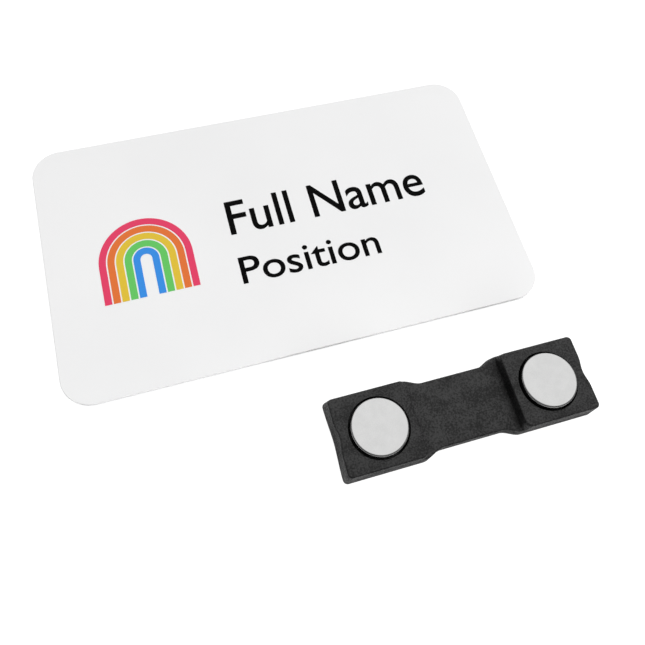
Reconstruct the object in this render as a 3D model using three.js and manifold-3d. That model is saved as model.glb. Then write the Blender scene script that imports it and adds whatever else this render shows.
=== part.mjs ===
// A name badge with the magnetic fastener that holds it to clothing.
//
// The badge is a thin white plate with round corners. A steel strip is stuck
// to its back. The fastener lies in front of the badge, taken off: a black
// moulded bar with a raised pad at each end and a disc magnet in each pad.
// In use the bar goes behind the cloth, and its magnets grip the strip.
//
// Millimetres. +X runs along the long side of the badge, +Y to its top edge,
// +Z up. The origin is on the table, under the middle of the whole layout.

import * as THREE from 'three';
import { mergeVertices } from 'three/addons/utils/BufferGeometryUtils.js';
import Module from 'manifold-3d';

// Badge plate
const plateLength = 86;
const plateWidth = 50;
const plateThickness = 0.8;
const plateCornerRadius = 5.2;
const plateEdgeRadius = 0.15;

// Steel strip on the back of the plate
const stripLength = 45;
const stripWidth = 13;
const stripThickness = 0.75;
const stripCornerRadius = 1.5;

// Magnets
const magnetDiameter = 9.5;
const magnetThickness = 3.2;
const magnetEdgeRadius = 0.4;
const magnetSpacing = 30;
const magnetRise = 0.8;         // how far a magnet stands out of its pad
const magnetClearance = 0.35;   // from a magnet's rim to the wall of its pocket
const glueFilm = 0.3;           // under each magnet

// Fastener bar, its lengths and widths taken at the foot of its leaning walls
const barLength = 44.9;
const barWidth = 13.8;
const padLength = 14.35;
const padHeight = 4.8;
const padCornerRadius = 0.8;    // at its outer end
const padInnerRadius = 1.1;     // at its corners beside the waist
const waistWidth = 11.55;
const waistHeight = 2.7;
const flareLength = 3.4;        // stretch over which the waist widens to the full width
const flareInset = 0.7;         // how far that stretch runs on under a pad
const barEdgeRadius = 0.25;
const barDraft = 0.52;          // how far a wall leans in over the pad's height
const thumbScoopDepth = 0.36;   // at the top of a pad's outer end
const thumbScoopWidth = 5.4;
const endBowDepth = 0.22;       // at the foot of the same end, from corner to corner

// Layout on the table
const barGap = 9.2;             // from the badge's lower edge to the bar
const barInset = 0.35;          // the bar's right end, in from the badge's

// Fineness of the round stretches
const cornerSteps = 10;
const endSteps = 40;
const edgeSteps = 3;
const discSides = 64;

const layoutDepth = plateWidth + barGap + barWidth;
const plateY = layoutDepth / 2 - plateWidth / 2;
const barX = plateLength / 2 - barInset - barLength / 2;
const barY = -layoutDepth / 2 + barWidth / 2;
const pocketRadius = magnetDiameter / 2 + magnetClearance;
const pocketDepth = magnetThickness - magnetRise + glueFilm;
const magnetZ = padHeight + magnetRise - magnetThickness;
const padX = barLength / 2 - padLength / 2;
const flatEndWidth = barWidth - 2 * padCornerRadius;

const wasm = await Module();
wasm.setup();

function solidOf(geometry) {
  const bare = geometry.index ? geometry.clone() : geometry;
  bare.deleteAttribute('normal');
  bare.deleteAttribute('uv');
  const merged = mergeVertices(bare);
  return new wasm.Manifold(new wasm.Mesh({
    numProp: 3,
    vertProperties: new Float32Array(merged.attributes.position.array),
    triVerts: new Uint32Array(merged.index.array),
  }));
}

function geometryOf(solid) {
  const mesh = solid.getMesh();
  const geometry = new THREE.BufferGeometry();
  geometry.setAttribute('position', new THREE.BufferAttribute(mesh.vertProperties, 3));
  geometry.setIndex(new THREE.BufferAttribute(mesh.triVerts, 1));
  geometry.computeVertexNormals();
  return geometry;
}

// A slab of an outline, standing on z = 0, with its edges rounded.
function slab(outline, height, edgeRadius) {
  const geometry = new THREE.ExtrudeGeometry(outline, {
    depth: height - 2 * edgeRadius,
    bevelThickness: edgeRadius,
    bevelSize: edgeRadius,
    bevelOffset: -edgeRadius,
    bevelSegments: edgeSteps,
    curveSegments: cornerSteps,
  });
  geometry.translate(0, 0, edgeRadius);
  return geometry;
}

function roundedRectangle(length, width, radius) {
  const x = length / 2;
  const y = width / 2;
  const shape = new THREE.Shape();
  shape.moveTo(x, -y + radius);
  shape.absarc(x - radius, y - radius, radius, 0, Math.PI / 2);
  shape.absarc(-x + radius, y - radius, radius, Math.PI / 2, Math.PI);
  shape.absarc(-x + radius, -y + radius, radius, Math.PI, 1.5 * Math.PI);
  shape.absarc(x - radius, -y + radius, radius, 1.5 * Math.PI, 2 * Math.PI);
  return shape;
}

// A pad's outline about its own middle. Its outer end, which faces +X, has
// points across the place of the hollows that are pressed into it.
function padOutline() {
  const x = padLength / 2;
  const y = barWidth / 2;
  const r = padCornerRadius;
  const inner = padInnerRadius;
  const shape = new THREE.Shape();
  shape.moveTo(x, -y + r);
  for (let i = 1; i < endSteps; i += 1) {
    shape.lineTo(x, flatEndWidth * (i / endSteps - 0.5));
  }
  shape.absarc(x - r, y - r, r, 0, Math.PI / 2);
  shape.absarc(-x + inner, y - inner, inner, Math.PI / 2, Math.PI);
  shape.absarc(-x + inner, -y + inner, inner, Math.PI, 1.5 * Math.PI);
  shape.absarc(x - r, -y + r, r, 1.5 * Math.PI, 2 * Math.PI);
  return shape;
}

// The waist's outline: narrow in the middle, flaring to the bar's full width,
// and ending inside the pads.
function waistOutline() {
  const wide = barWidth / 2;
  const narrow = waistWidth / 2;
  const flareEnd = barLength / 2 - padLength + flareInset;
  const flareStart = flareEnd - flareLength;
  const easeIn = flareStart + flareLength / 3;
  const easeOut = flareEnd - flareLength / 3;
  const end = flareEnd + padInnerRadius;
  const shape = new THREE.Shape();
  shape.moveTo(end, -wide);
  shape.lineTo(end, wide);
  shape.lineTo(flareEnd, wide);
  shape.bezierCurveTo(easeOut, wide, easeIn, narrow, flareStart, narrow);
  shape.lineTo(-flareStart, narrow);
  shape.bezierCurveTo(-easeIn, narrow, -easeOut, wide, -flareEnd, wide);
  shape.lineTo(-end, wide);
  shape.lineTo(-end, -wide);
  shape.lineTo(-flareEnd, -wide);
  shape.bezierCurveTo(-easeOut, -wide, -easeIn, -narrow, -flareStart, -narrow);
  shape.lineTo(flareStart, -narrow);
  shape.bezierCurveTo(easeIn, -narrow, easeOut, -wide, flareEnd, -wide);
  return shape;
}

// A pad's block: rings of its outline from the foot to the top, drawn in where
// the lower and upper edges are rounded, and closed by a fan about the middle.
function padBlock() {
  const outline = padOutline().getPoints(cornerSteps).slice(0, -1);
  const levels = [];
  for (let i = 0; i <= edgeSteps; i += 1) {
    const a = ((i / edgeSteps) * Math.PI) / 2;
    const inset = barEdgeRadius * (1 - Math.sin(a));
    const z = barEdgeRadius * (1 - Math.cos(a));
    levels.push({ z, inset });
  }
  for (const { z, inset } of [...levels].reverse()) {
    levels.push({ z: padHeight - z, inset });
  }
  const vertices = [0, 0, 0, 0, 0, padHeight];
  for (const { z, inset } of levels) {
    for (const point of outline) {
      const x = point.x * (1 - (2 * inset) / padLength);
      const y = point.y * (1 - (2 * inset) / barWidth);
      vertices.push(x, y, z);
    }
  }
  const index = [];
  const first = 2;
  const count = outline.length;
  const top = first + (levels.length - 1) * count;
  for (let i = 0; i < count; i += 1) {
    const next = (i + 1) % count;
    index.push(0, first + next, first + i);
    index.push(1, top + i, top + next);
    for (let ring = first; ring < top; ring += count) {
      index.push(ring + i, ring + next, ring + count + next);
      index.push(ring + i, ring + count + next, ring + count + i);
    }
  }
  const geometry = new THREE.BufferGeometry();
  geometry.setAttribute('position', new THREE.Float32BufferAttribute(vertices, 3));
  geometry.setIndex(index);
  return geometry;
}

// Leans a block's walls in towards its middle, as a moulded part's do. They
// keep their full size just above the rounding of the lower edge.
function draft(geometry, length, width) {
  const position = geometry.attributes.position;
  for (let i = 0; i < position.count; i += 1) {
    const lean = (barDraft * (position.getZ(i) - barEdgeRadius)) / padHeight;
    position.setX(i, position.getX(i) * (1 - (2 * lean) / length));
    position.setY(i, position.getY(i) * (1 - (2 * lean) / width));
  }
  return geometry;
}

// How deep a round-bottomed hollow of some width and depth is, at y from its middle.
function hollow(y, width, depth) {
  const share = Math.min(Math.abs(y) / (width / 2), 1);
  return (depth * (1 + Math.cos(Math.PI * share))) / 2;
}

// Presses two hollows into a pad's outer end: the thumb scoop, which runs out
// at the foot, and a wide shallow bow, which runs out at the top.
function hollowEnd(geometry) {
  const position = geometry.attributes.position;
  for (let i = 0; i < position.count; i += 1) {
    const x = position.getX(i);
    const y = position.getY(i);
    const height = position.getZ(i) / padHeight;
    if (x > 0) {
      const scoop = height * hollow(y, thumbScoopWidth, thumbScoopDepth);
      const bow = (1 - height) * hollow(y, flatEndWidth, endBowDepth);
      position.setX(i, x - scoop - bow);
    }
  }
  return geometry;
}

function badgePlate() {
  const outline = roundedRectangle(plateLength, plateWidth, plateCornerRadius);
  return slab(outline, plateThickness, plateEdgeRadius).translate(0, 0, stripThickness);
}

function steelStrip() {
  const outline = roundedRectangle(stripLength, stripWidth, stripCornerRadius);
  return new THREE.ExtrudeGeometry(outline, {
    depth: stripThickness,
    bevelEnabled: false,
    curveSegments: cornerSteps,
  });
}

function magnet() {
  const r = magnetDiameter / 2;
  const e = magnetEdgeRadius;
  const profile = [new THREE.Vector2(0, 0)];
  for (let i = 0; i <= edgeSteps; i += 1) {
    const a = ((i / edgeSteps) * Math.PI) / 2;
    profile.push(new THREE.Vector2(r - e + e * Math.sin(a), e - e * Math.cos(a)));
  }
  for (let i = 0; i <= edgeSteps; i += 1) {
    const a = ((i / edgeSteps) * Math.PI) / 2;
    profile.push(new THREE.Vector2(r - e + e * Math.cos(a), magnetThickness - e + e * Math.sin(a)));
  }
  profile.push(new THREE.Vector2(0, magnetThickness));
  return new THREE.LatheGeometry(profile, discSides).rotateX(Math.PI / 2);
}

function fastenerBar() {
  const waist = draft(slab(waistOutline(), waistHeight, barEdgeRadius), barLength, barWidth);
  const rightPad = hollowEnd(draft(padBlock(), padLength, barWidth));
  const leftPad = rightPad.clone().rotateZ(Math.PI);
  rightPad.translate(padX, 0, 0);
  leftPad.translate(-padX, 0, 0);
  let body = solidOf(waist).add(solidOf(rightPad)).add(solidOf(leftPad));
  for (const side of [-1, 1]) {
    const pocket = new THREE.CylinderGeometry(
      pocketRadius, pocketRadius, 2 * pocketDepth, discSides,
    );
    pocket.rotateX(Math.PI / 2);
    pocket.translate((side * magnetSpacing) / 2, 0, padHeight);
    body = body.subtract(solidOf(pocket));
  }
  return geometryOf(body);
}

function part(name, geometry, material) {
  const mesh = new THREE.Mesh(geometry, material);
  mesh.name = name;
  return mesh;
}

const whitePlastic = new THREE.MeshStandardMaterial({
  color: 0xf0f0f0, roughness: 0.5, metalness: 0,
});
const blackPlastic = new THREE.MeshStandardMaterial({
  color: 0x303030, roughness: 0.75, metalness: 0,
});
const nickel = new THREE.MeshStandardMaterial({
  color: 0xd6d6d6, roughness: 0.3, metalness: 1,
});
const zincSteel = new THREE.MeshStandardMaterial({
  color: 0xb4b6b8, roughness: 0.45, metalness: 1,
});

const badge = new THREE.Group();
badge.position.set(0, plateY, 0);
badge.add(part('badge_plate', badgePlate(), whitePlastic));
badge.add(part('steel_strip', steelStrip(), zincSteel));

const fastener = new THREE.Group();
fastener.position.set(barX, barY, 0);
fastener.add(part('fastener_bar', fastenerBar(), blackPlastic));
for (const [name, side] of [['left_magnet', -1], ['right_magnet', 1]]) {
  const disc = part(name, magnet(), nickel);
  disc.position.set((side * magnetSpacing) / 2, 0, magnetZ);
  fastener.add(disc);
}

const nameBadge = new THREE.Group();
nameBadge.add(badge, fastener);

export default nameBadge;
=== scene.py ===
"""A white name badge lying face up, with its magnetic fastener bar taken off and
laid beside it, magnets up.

Metres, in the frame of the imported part: +X along the badge, +Y to its top edge,
+Z up, the table at z = 0.
"""

import math

import bmesh
import bpy
from mathutils import Matrix, Vector


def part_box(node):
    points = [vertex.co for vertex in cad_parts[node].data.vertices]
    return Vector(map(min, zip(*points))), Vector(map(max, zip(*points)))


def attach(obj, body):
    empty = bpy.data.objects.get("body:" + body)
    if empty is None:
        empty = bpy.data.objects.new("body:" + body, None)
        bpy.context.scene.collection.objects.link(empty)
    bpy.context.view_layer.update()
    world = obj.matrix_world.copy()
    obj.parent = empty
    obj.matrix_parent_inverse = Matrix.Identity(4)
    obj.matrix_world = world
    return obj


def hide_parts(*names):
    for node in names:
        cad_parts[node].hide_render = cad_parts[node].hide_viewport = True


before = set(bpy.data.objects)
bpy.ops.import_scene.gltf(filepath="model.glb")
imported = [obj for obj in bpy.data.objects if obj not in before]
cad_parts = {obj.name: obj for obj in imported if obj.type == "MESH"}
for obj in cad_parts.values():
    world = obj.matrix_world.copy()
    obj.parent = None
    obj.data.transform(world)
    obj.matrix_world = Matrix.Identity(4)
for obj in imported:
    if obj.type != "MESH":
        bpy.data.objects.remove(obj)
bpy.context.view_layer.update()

MM = 0.001

# Camera
CAMERA_AIM = Vector((1.96, -8.61, 0.0)) * MM
CAMERA_DISTANCE = 100.1 * MM
CAMERA_ELEVATION = math.radians(70.0)
CAMERA_TURN = math.radians(26.2)      # to the left of the badge's own front
CAMERA_ROLL = math.radians(11.15)
CAMERA_LENS = 31.3
CAMERA_SENSOR = 36
CAMERA_NEAREST = 1 * MM
CAMERA_FARTHEST = 20

# Studio: a white tent, bright above and behind, dim at the front and low down
TENT_AXIS = Vector((0.22, 0.66, 0.71))
TENT_BRIGHT = 1.55
TENT_DIM = 0.18
TENT_EDGE = (0.36, 0.72)              # where the dim side gives way, along the axis
BACKDROP = 1.0
FILL_PLACE = Vector((0.12, -0.30, 0.08))   # a soft light, low at the front right
FILL_SIZE = 0.2
FILL_POWER = 0.9
TABLE_SIZE = 3.0
TABLE_DROP = 0.02 * MM
TABLE_SEEN = 0.30                     # how pale the table is to the camera, besides its glow,
TABLE_GLOW = 0.90
TABLE_CAST = 0.66                     # and to what stands on it

# Roundings that the solids leave out
POCKET_RIM = 0.15 * MM
STEP_FILLET = 0.25 * MM
STRIP_RIM = 0.1 * MM
ROUNDING_STEPS = 3
SOFTEST_SHARP_EDGE = math.radians(60)
STILL_FLAT = math.radians(0.05)       # faces that differ less are one flat face
STILL_SMOOTH = math.radians(40)       # edges that turn less are shaded smooth
SAME_POINT = 0.002 * MM               # points of a solid that lie closer are one

# Fine specks make up this share of the black plastic's mottling, and clouds the rest
BLACK_SPECK_SHARE = 0.7

# Print on the badge, measured from the middle of its face
INK_HEIGHT = 0.03 * MM
INK_SUNK = 0.01 * MM
LINE_LEFT = -9.9 * MM
LINES = {
    "name_print": {
        "text": "Full Name", "baseline": 0.0, "capital": 7.05 * MM, "width": 38.4 * MM,
    },
    "title_print": {
        "text": "Position", "baseline": -10.1 * MM, "capital": 5.3 * MM, "width": 26.1 * MM,
    },
}
LETTER_CAPITAL = 0.7                  # height of a capital in lettering of size 1
LETTER_WEIGHT = 0.006                 # how far strokes are swollen, at size 1
LETTER_STEPS = 8                      # along each curved stretch of an outline
LETTER_SEAM = 0.001 * MM              # faces of a letter meet this closely

# A plain arch of coloured bands; the colours run from the outermost band inwards
ARCH_MIDDLE = Vector((-25.6, -1.2)) * MM
ARCH = {
    "Bands": 5,
    "Outer Radius": 8.3 * MM,
    "Pitch": 1.5 * MM,
    "Band Width": 1.25 * MM,
    "Leg Length": 7.2 * MM,
    "Ink Thickness": INK_HEIGHT + INK_SUNK,
    "Arc Steps": 48,
}
BAND_COLOURS = (
    (0.740, 0.034, 0.115),
    (0.730, 0.155, 0.020),
    (0.720, 0.500, 0.025),
    (0.115, 0.540, 0.105),
    (0.022, 0.250, 0.740),
)


def camera_pose(aim, distance, elevation, turn, roll):
    """The pose of a camera that looks down at a point, turned and rolled."""
    forward = Vector((
        math.sin(turn) * math.cos(elevation),
        math.cos(turn) * math.cos(elevation),
        -math.sin(elevation),
    ))
    level = forward.cross(Vector((0, 0, 1))).normalized()
    up = level.cross(forward)
    right = level * math.cos(roll) + up * math.sin(roll)
    top = up * math.cos(roll) - level * math.sin(roll)
    pose = Matrix((right, top, -forward)).transposed().to_4x4()
    pose.translation = aim - forward * distance
    return pose


def make_camera():
    lens = bpy.data.cameras.new("camera")
    lens.lens = CAMERA_LENS
    lens.sensor_width = CAMERA_SENSOR
    lens.clip_start = CAMERA_NEAREST
    lens.clip_end = CAMERA_FARTHEST
    camera = bpy.data.objects.new("camera", lens)
    bpy.context.scene.collection.objects.link(camera)
    camera.matrix_world = camera_pose(
        CAMERA_AIM, CAMERA_DISTANCE, CAMERA_ELEVATION, CAMERA_TURN, CAMERA_ROLL
    )
    bpy.context.scene.camera = camera


class Nodes:
    """A node tree, with short ways to add nodes and links to it."""

    def __init__(self, tree):
        self.tree = tree

    def node(self, kind, **settings):
        made = self.tree.nodes.new(kind)
        for key, value in settings.items():
            setattr(made, key, value)
        return made

    def feed(self, socket, value):
        """Puts a value, or the output of another node, into a socket."""
        if isinstance(value, bpy.types.NodeSocket):
            self.tree.links.new(value, socket)
        else:
            socket.default_value = value

    def math(self, operation, first, second=0.0):
        made = self.node("ShaderNodeMath", operation=operation)
        self.feed(made.inputs[0], first)
        self.feed(made.inputs[1], second)
        return made.outputs["Value"]

    def spread(self, value, low, high, start=0.3, end=0.7):
        """Takes a value from start..end to low..high."""
        made = self.node("ShaderNodeMapRange", interpolation_type="SMOOTHSTEP")
        for name, given in (
            ("Value", value), ("From Min", start), ("From Max", end),
            ("To Min", low), ("To Max", high),
        ):
            self.feed(made.inputs[name], given)
        return made.outputs["Result"]


class Finish(Nodes):
    """A material, with its patterns laid out on Object coordinates."""

    def __init__(self, name, **values):
        self.material = bpy.data.materials.new(name)
        self.material.use_nodes = True
        super().__init__(self.material.node_tree)
        self.shader = self.tree.nodes["Principled BSDF"]
        self.place = self.node("ShaderNodeTexCoord").outputs["Object"]
        for key, value in values.items():
            self.shader.inputs[key.replace("_", " ")].default_value = value

    def stretched(self, x, y, z):
        mapping = self.node("ShaderNodeMapping")
        mapping.inputs["Scale"].default_value = (x, y, z)
        self.feed(mapping.inputs["Vector"], self.place)
        return mapping.outputs["Vector"]

    def noise(self, size, detail=2.0, roughness=0.5, place=None):
        """Cloudy noise whose blotches are about size across, from 0 to 1."""
        noise = self.node("ShaderNodeTexNoise")
        noise.inputs["Scale"].default_value = 1 / size
        noise.inputs["Detail"].default_value = detail
        noise.inputs["Roughness"].default_value = roughness
        self.feed(noise.inputs["Vector"], place or self.place)
        return noise.outputs["Fac"]

    def ramp(self, value, stops, interpolation="LINEAR"):
        """Colours at places from 0 to 1."""
        made = self.node("ShaderNodeValToRGB")
        made.color_ramp.interpolation = interpolation
        elements = made.color_ramp.elements
        while len(elements) < len(stops):
            elements.new(1.0)
        for element, (position, colour) in zip(elements, stops):
            element.position = position
            element.color = (*colour, 1)
        self.feed(made.inputs["Fac"], value)
        return made.outputs["Color"]

    def colour(self, value):
        self.feed(self.shader.inputs["Base Color"], value)

    def roughness(self, value):
        self.feed(self.shader.inputs["Roughness"], value)

    def bump(self, height, depth, strength):
        bump = self.node("ShaderNodeBump")
        bump.inputs["Strength"].default_value = strength
        bump.inputs["Distance"].default_value = depth
        self.feed(bump.inputs["Height"], height)
        self.feed(self.shader.inputs["Normal"], bump.outputs["Normal"])


def white_plastic():
    """Satin white sheet, faintly cloudy, with a fine grain."""
    finish = Finish("white_plastic", Specular_IOR_Level=0.4)
    cloud = finish.noise(40 * MM, detail=3)
    finish.colour(finish.ramp(cloud, [(0.35, (0.814, 0.815, 0.817)), (0.6, (0.843, 0.843, 0.844))]))
    grain = finish.noise(0.35 * MM, detail=4, roughness=0.6)
    finish.roughness(finish.spread(grain, 0.42, 0.54))
    finish.bump(grain, 0.006 * MM, 0.6)
    return finish.material


def black_plastic():
    """Moulded black plastic with a spark-eroded grain: near black in the depth,
    mottled grey where it catches the light."""
    finish = Finish("black_plastic", Specular_IOR_Level=0.355)
    cloud = finish.noise(2.5 * MM, detail=3, place=finish.stretched(0.6, 1.0, 1.0))
    speck = finish.noise(0.28 * MM, detail=3, roughness=0.6)
    clouded = finish.math("MULTIPLY", cloud, 1 - BLACK_SPECK_SHARE)
    tone = finish.math("ADD", clouded, finish.math("MULTIPLY", speck, BLACK_SPECK_SHARE))
    finish.colour(finish.ramp(tone, [(0.43, (0.0, 0.0, 0.0)), (0.58, (0.0170, 0.0170, 0.0172))]))
    finish.roughness(finish.spread(tone, 0.60, 0.34, 0.42, 0.58))
    grain = finish.noise(0.2 * MM, detail=3, roughness=0.6)
    finish.bump(finish.math("ADD", grain, speck), 0.04 * MM, 1.0)
    return finish.material


def nickel():
    """Satin nickel plating."""
    finish = Finish("nickel", Metallic=1.0)
    haze = finish.noise(1.5 * MM, detail=3)
    finish.colour(finish.ramp(haze, [(0.3, (0.430, 0.430, 0.428)), (0.7, (0.454, 0.454, 0.452))]))
    grain = finish.noise(0.12 * MM, detail=3)
    finish.roughness(finish.spread(grain, 0.16, 0.24))
    finish.bump(grain, 0.002 * MM, 0.5)
    return finish.material


def zinc_steel():
    """Zinc-plated strip, with rolling marks along its length."""
    finish = Finish("zinc_steel", Metallic=1.0)
    rolled = finish.noise(1 * MM, detail=4, place=finish.stretched(0.03, 1.0, 1.0))
    spangle = finish.noise(2.5 * MM, detail=2)
    tone = finish.math("MULTIPLY", finish.math("ADD", rolled, spangle), 0.5)
    finish.colour(finish.ramp(tone, [(0.3, (0.40, 0.41, 0.42)), (0.7, (0.56, 0.565, 0.57))]))
    finish.roughness(finish.spread(rolled, 0.32, 0.5))
    finish.bump(rolled, 0.004 * MM, 0.6)
    return finish.material


def lay_ink(finish):
    """The slightly uneven lay of print on plastic."""
    lay = finish.noise(0.5 * MM, detail=3)
    finish.roughness(finish.spread(lay, 0.5, 0.62))
    finish.bump(lay, 0.004 * MM, 0.4)
    return lay


def black_ink():
    finish = Finish("black_ink", Specular_IOR_Level=0.02)
    lay = lay_ink(finish)
    finish.colour(finish.ramp(lay, [(0.35, (0.001, 0.001, 0.001)), (0.75, (0.004, 0.004, 0.004))]))
    return finish.material


def colour_ink():
    """Five plain colours, picked by each band's own number."""
    finish = Finish("colour_ink", Specular_IOR_Level=0.3)
    band = finish.node("ShaderNodeAttribute", attribute_name="band").outputs["Fac"]
    stops = [(i / len(BAND_COLOURS), colour) for i, colour in enumerate(BAND_COLOURS)]
    flat = finish.ramp(band, stops, interpolation="CONSTANT")
    lay = lay_ink(finish)
    uneven = finish.node("ShaderNodeMix", data_type="RGBA", blend_type="MULTIPLY")
    finish.feed(uneven.inputs["Factor"], 1.0)
    first, second = (socket for socket in uneven.inputs if socket.type == "RGBA")
    mixed = next(socket for socket in uneven.outputs if socket.type == "RGBA")
    finish.feed(first, flat)
    finish.feed(second, finish.ramp(lay, [(0.3, (0.96, 0.96, 0.96)), (0.7, (1, 1, 1))]))
    finish.colour(mixed)
    return finish.material


def table_top():
    """A lit white table: glowing to the camera, and a plain pale grey to the badge."""
    finish = Finish("table_top", Roughness=0.9, Specular_IOR_Level=0.1)
    seen = finish.node("ShaderNodeLightPath").outputs["Is Camera Ray"]
    tone = finish.spread(seen, TABLE_CAST, TABLE_SEEN, 0.0, 1.0)
    colour = finish.node("ShaderNodeCombineColor")
    for channel in colour.inputs:
        finish.feed(channel, tone)
    finish.colour(colour.outputs["Color"])
    finish.shader.inputs["Emission Color"].default_value = (1, 1, 1, 1)
    glow = finish.math("MULTIPLY", seen, TABLE_GLOW)
    finish.feed(finish.shader.inputs["Emission Strength"], glow)
    return finish.material


def link_mesh(name, mesh):
    piece = bpy.data.objects.new(name, mesh)
    bpy.context.scene.collection.objects.link(piece)
    return piece


def put(piece, material):
    """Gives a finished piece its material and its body."""
    piece.data.materials.clear()
    piece.data.materials.append(material)
    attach(piece, "root")


def round_edges(shape, hollow, radius):
    """Rounds the sharp edges of a shape: its outer ones, or those in its hollows."""
    sign = -1 if hollow else 1
    sharp = [
        edge for edge in shape.edges
        if edge.is_manifold and sign * edge.calc_face_angle_signed() > SOFTEST_SHARP_EDGE
    ]
    bmesh.ops.bevel(
        shape, geom=sharp, offset=radius, segments=ROUNDING_STEPS, profile=0.5,
        affect="EDGES", clamp_overlap=True, loop_slide=True,
    )


def smooth_piece(name, node, material, rim=0.0, fillet=0.0):
    """A piece in the shape of a solid, with its round stretches smooth and the
    edges that the solid leaves sharp rounded."""
    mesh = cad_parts[node].data.copy()
    shape = bmesh.new()
    shape.from_mesh(mesh)
    bmesh.ops.remove_doubles(shape, verts=shape.verts, dist=SAME_POINT)
    bmesh.ops.dissolve_limit(
        shape, angle_limit=STILL_FLAT, verts=shape.verts, edges=shape.edges
    )
    if fillet:
        round_edges(shape, True, fillet)
    if rim:
        round_edges(shape, False, rim)
    for face in shape.faces:
        face.smooth = True
    shape.to_mesh(mesh)
    shape.free()
    mesh.set_sharp_from_angle(angle=STILL_SMOOTH)
    maker = link_mesh(name + "_maker", mesh)
    maker.modifiers.new("flat_faces_stay_flat", "WEIGHTED_NORMAL").keep_sharp = True
    piece = link_mesh(name, made_mesh(maker, name))
    bpy.data.objects.remove(maker)
    put(piece, material)
    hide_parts(node)


def made_mesh(source, name):
    """The plain mesh of an object, with its modifiers or its text worked out."""
    graph = bpy.context.evaluated_depsgraph_get()
    mesh = bpy.data.meshes.new_from_object(source.evaluated_get(graph), depsgraph=graph)
    mesh.name = name
    return mesh


def lettering(name, line, middle, material):
    """One line of raised print, fitted to its place on the badge."""
    curve = bpy.data.curves.new(name + "_outline", "FONT")
    curve.body = line["text"]
    curve.resolution_u = LETTER_STEPS
    curve.extrude = 0.5
    curve.offset = LETTER_WEIGHT
    outline = bpy.data.objects.new(name + "_outline", curve)
    bpy.context.scene.collection.objects.link(outline)
    mesh = made_mesh(outline, name)
    bpy.data.objects.remove(outline)
    left = min(v.co.x for v in mesh.vertices)
    right = max(v.co.x for v in mesh.vertices)
    wide = line["width"] / (right - left)
    tall = line["capital"] / LETTER_CAPITAL
    for vertex in mesh.vertices:
        x, y, z = vertex.co
        vertex.co = (
            middle.x + LINE_LEFT + (x - left) * wide,
            middle.y + line["baseline"] + y * tall,
            middle.z + (INK_HEIGHT if z > 0 else -INK_SUNK),
        )
    shape = bmesh.new()
    shape.from_mesh(mesh)
    bmesh.ops.remove_doubles(shape, verts=shape.verts, dist=LETTER_SEAM)
    bmesh.ops.recalc_face_normals(shape, faces=shape.faces)
    shape.to_mesh(mesh)
    shape.free()
    put(link_mesh(name, mesh), material)


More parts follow.
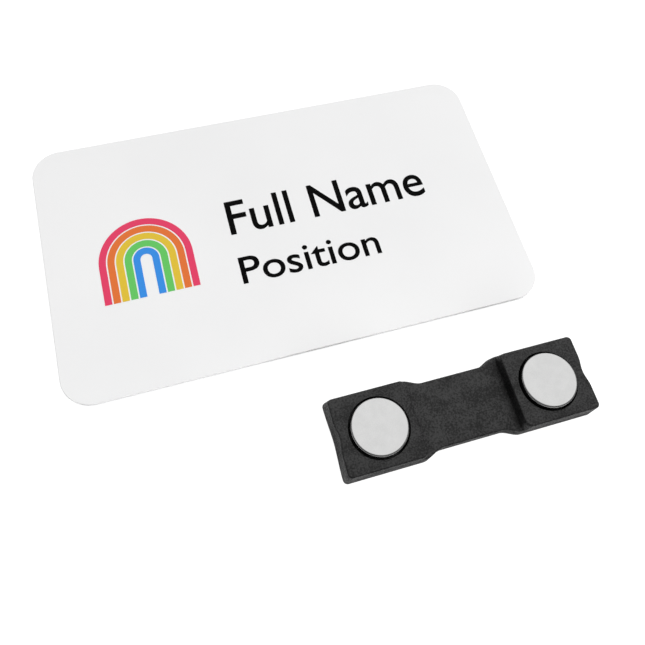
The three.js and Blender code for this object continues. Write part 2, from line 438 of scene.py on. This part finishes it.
def arch_tree(place, material):
    """Geometry nodes that lay the bands of an arch inside each other: each is a
    round top on two straight legs, swept with a flat section. The first and last
    points of its path are the feet, and the others lie on the round top."""
    tree = bpy.data.node_groups.new("arch_bands", "GeometryNodeTree")
    nodes = Nodes(tree)
    for name, value in ARCH.items():
        kind = "NodeSocketInt" if isinstance(value, int) else "NodeSocketFloat"
        tree.interface.new_socket(name=name, in_out="INPUT", socket_type=kind)
    tree.interface.new_socket(name="Geometry", in_out="OUTPUT", socket_type="NodeSocketGeometry")
    given = nodes.node("NodeGroupInput").outputs

    start = nodes.node("GeometryNodeRepeatInput")
    end = nodes.node("GeometryNodeRepeatOutput")
    start.pair_with_output(end)
    nodes.feed(start.inputs["Iterations"], given["Bands"])
    number = start.outputs["Iteration"]

    inset = nodes.math("MULTIPLY", number, given["Pitch"])
    outer = nodes.math("SUBTRACT", given["Outer Radius"], inset)
    radius = nodes.math("SUBTRACT", outer, nodes.math("MULTIPLY", given["Band Width"], 0.5))
    point = nodes.node("GeometryNodeInputIndex").outputs["Index"]
    steps = given["Arc Steps"]
    share = nodes.math("DIVIDE", nodes.math("SUBTRACT", point, 1.0), steps)
    share = nodes.math("MINIMUM", nodes.math("MAXIMUM", share, 0.0), 1.0)
    angle = nodes.math("MULTIPLY", share, math.pi)
    middle = nodes.math("DIVIDE", nodes.math("ADD", steps, 2.0), 2.0)
    from_middle = nodes.math("SUBTRACT", point, middle)
    last_on_arc = nodes.math("DIVIDE", nodes.math("ADD", steps, 1.0), 2.0)
    at_foot = nodes.math("GREATER_THAN", nodes.math("ABSOLUTE", from_middle), last_on_arc)
    across = nodes.math("MULTIPLY", nodes.math("COSINE", angle), radius)
    above = nodes.math("MULTIPLY", nodes.math("SINE", angle), radius)
    below = nodes.math("MULTIPLY", at_foot, given["Leg Length"])
    position = nodes.node("ShaderNodeCombineXYZ")
    nodes.feed(position.inputs["X"], across)
    nodes.feed(position.inputs["Y"], nodes.math("SUBTRACT", above, below))

    line = nodes.node("GeometryNodeCurvePrimitiveLine")
    points = nodes.node("GeometryNodeResampleCurve", mode="COUNT")
    nodes.feed(points.inputs["Curve"], line.outputs["Curve"])
    nodes.feed(points.inputs["Count"], nodes.math("ADD", steps, 3.0))
    arch = nodes.node("GeometryNodeSetPosition")
    nodes.feed(arch.inputs["Geometry"], points.outputs["Curve"])
    nodes.feed(arch.inputs["Position"], position.outputs["Vector"])
    section = nodes.node("GeometryNodeCurvePrimitiveQuadrilateral", mode="RECTANGLE")
    nodes.feed(section.inputs["Width"], given["Band Width"])
    nodes.feed(section.inputs["Height"], given["Ink Thickness"])
    band = nodes.node("GeometryNodeCurveToMesh")
    nodes.feed(band.inputs["Curve"], arch.outputs["Geometry"])
    nodes.feed(band.inputs["Profile Curve"], section.outputs["Curve"])
    band.inputs["Fill Caps"].default_value = True
    numbered = nodes.node("GeometryNodeStoreNamedAttribute", data_type="FLOAT", domain="POINT")
    nodes.feed(numbered.inputs["Geometry"], band.outputs["Mesh"])
    numbered.inputs["Name"].default_value = "band"
    share = nodes.math("DIVIDE", nodes.math("ADD", number, 0.5), given["Bands"])
    nodes.feed(numbered.inputs["Value"], share)

    joined = nodes.node("GeometryNodeJoinGeometry")
    nodes.feed(joined.inputs["Geometry"], start.outputs["Geometry"])
    nodes.feed(joined.inputs["Geometry"], numbered.outputs["Geometry"])
    nodes.feed(end.inputs["Geometry"], joined.outputs["Geometry"])
    placed = nodes.node("GeometryNodeTransform")
    nodes.feed(placed.inputs["Geometry"], end.outputs["Geometry"])
    placed.inputs["Translation"].default_value = place
    real = nodes.node("GeometryNodeRealizeInstances")
    nodes.feed(real.inputs["Geometry"], placed.outputs["Geometry"])
    inked = nodes.node("GeometryNodeSetMaterial")
    nodes.feed(inked.inputs["Geometry"], real.outputs["Geometry"])
    inked.inputs["Material"].default_value = material
    nodes.feed(nodes.node("NodeGroupOutput").inputs["Geometry"], inked.outputs["Geometry"])
    return tree


def arch_print(middle, material):
    """The coloured arch, as print on the badge's left half."""
    place = middle + ARCH_MIDDLE.to_3d()
    place.z += (INK_HEIGHT - INK_SUNK) / 2
    maker = link_mesh("arch_maker", bpy.data.meshes.new("arch_maker"))
    modifier = maker.modifiers.new("bands", "NODES")
    modifier.node_group = arch_tree(place, material)
    for socket in modifier.node_group.interface.items_tree:
        if socket.in_out == "INPUT":
            modifier[socket.identifier] = ARCH[socket.name]
    mesh = made_mesh(maker, "arch_print")
    mesh.set_sharp_from_angle(angle=SOFTEST_SHARP_EDGE)
    bpy.data.objects.remove(maker)
    put(link_mesh("arch_print", mesh), material)


def make_studio():
    """A pale table in a white tent, and a plain backdrop where the camera sees past it."""
    world = bpy.data.worlds.new("tent")
    world.use_nodes = True
    bpy.context.scene.world = world
    nodes = Nodes(world.node_tree)
    background = world.node_tree.nodes["Background"]
    direction = nodes.node("ShaderNodeTexCoord").outputs["Generated"]
    along = nodes.node("ShaderNodeVectorMath", operation="DOT_PRODUCT")
    nodes.feed(along.inputs[0], direction)
    nodes.feed(along.inputs[1], TENT_AXIS.normalized())
    tent = nodes.spread(along.outputs["Value"], TENT_DIM, TENT_BRIGHT, *TENT_EDGE)
    seen = nodes.node("ShaderNodeLightPath").outputs["Is Camera Ray"]
    strength = nodes.node("ShaderNodeMix", data_type="FLOAT")
    nodes.feed(strength.inputs["Factor"], seen)
    nodes.feed(strength.inputs["A"], tent)
    nodes.feed(strength.inputs["B"], BACKDROP)
    background.inputs["Color"].default_value = (1, 1, 1, 1)
    nodes.feed(background.inputs["Strength"], strength.outputs["Result"])

    fill = bpy.data.lights.new("fill", "AREA")
    fill.energy = FILL_POWER
    fill.size = FILL_SIZE
    lamp = bpy.data.objects.new("fill", fill)
    bpy.context.scene.collection.objects.link(lamp)
    lamp.location = FILL_PLACE
    lamp.rotation_euler = FILL_PLACE.to_track_quat("Z", "Y").to_euler()
    lamp.visible_glossy = False

    half = TABLE_SIZE / 2
    corners = [(-half, -half), (half, -half), (half, half), (-half, half)]
    mesh = bpy.data.meshes.new("table_top")
    mesh.from_pydata([(x, y, -TABLE_DROP) for x, y in corners], [], [(0, 1, 2, 3)])
    mesh.materials.append(table_top())
    link_mesh("table_top", mesh)
    bpy.context.scene.view_settings.view_transform = "Standard"


def make_fastener():
    smooth_piece(
        "bar", "fastener_bar", black_plastic(),
        rim=POCKET_RIM, fillet=STEP_FILLET,
    )
    plating = nickel()
    smooth_piece("magnet_left", "left_magnet", plating)
    smooth_piece("magnet_right", "right_magnet", plating)


def make_badge():
    smooth_piece("plate", "badge_plate", white_plastic())
    smooth_piece("strip", "steel_strip", zinc_steel(), rim=STRIP_RIM)
    low, high = (Vector(corner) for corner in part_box("badge_plate"))
    middle = (low + high) / 2
    middle.z = high.z
    ink = black_ink()
    for name, line in LINES.items():
        lettering(name, line, middle, ink)
    arch_print(middle, colour_ink())


make_camera()
make_studio()
make_badge()
make_fastener()
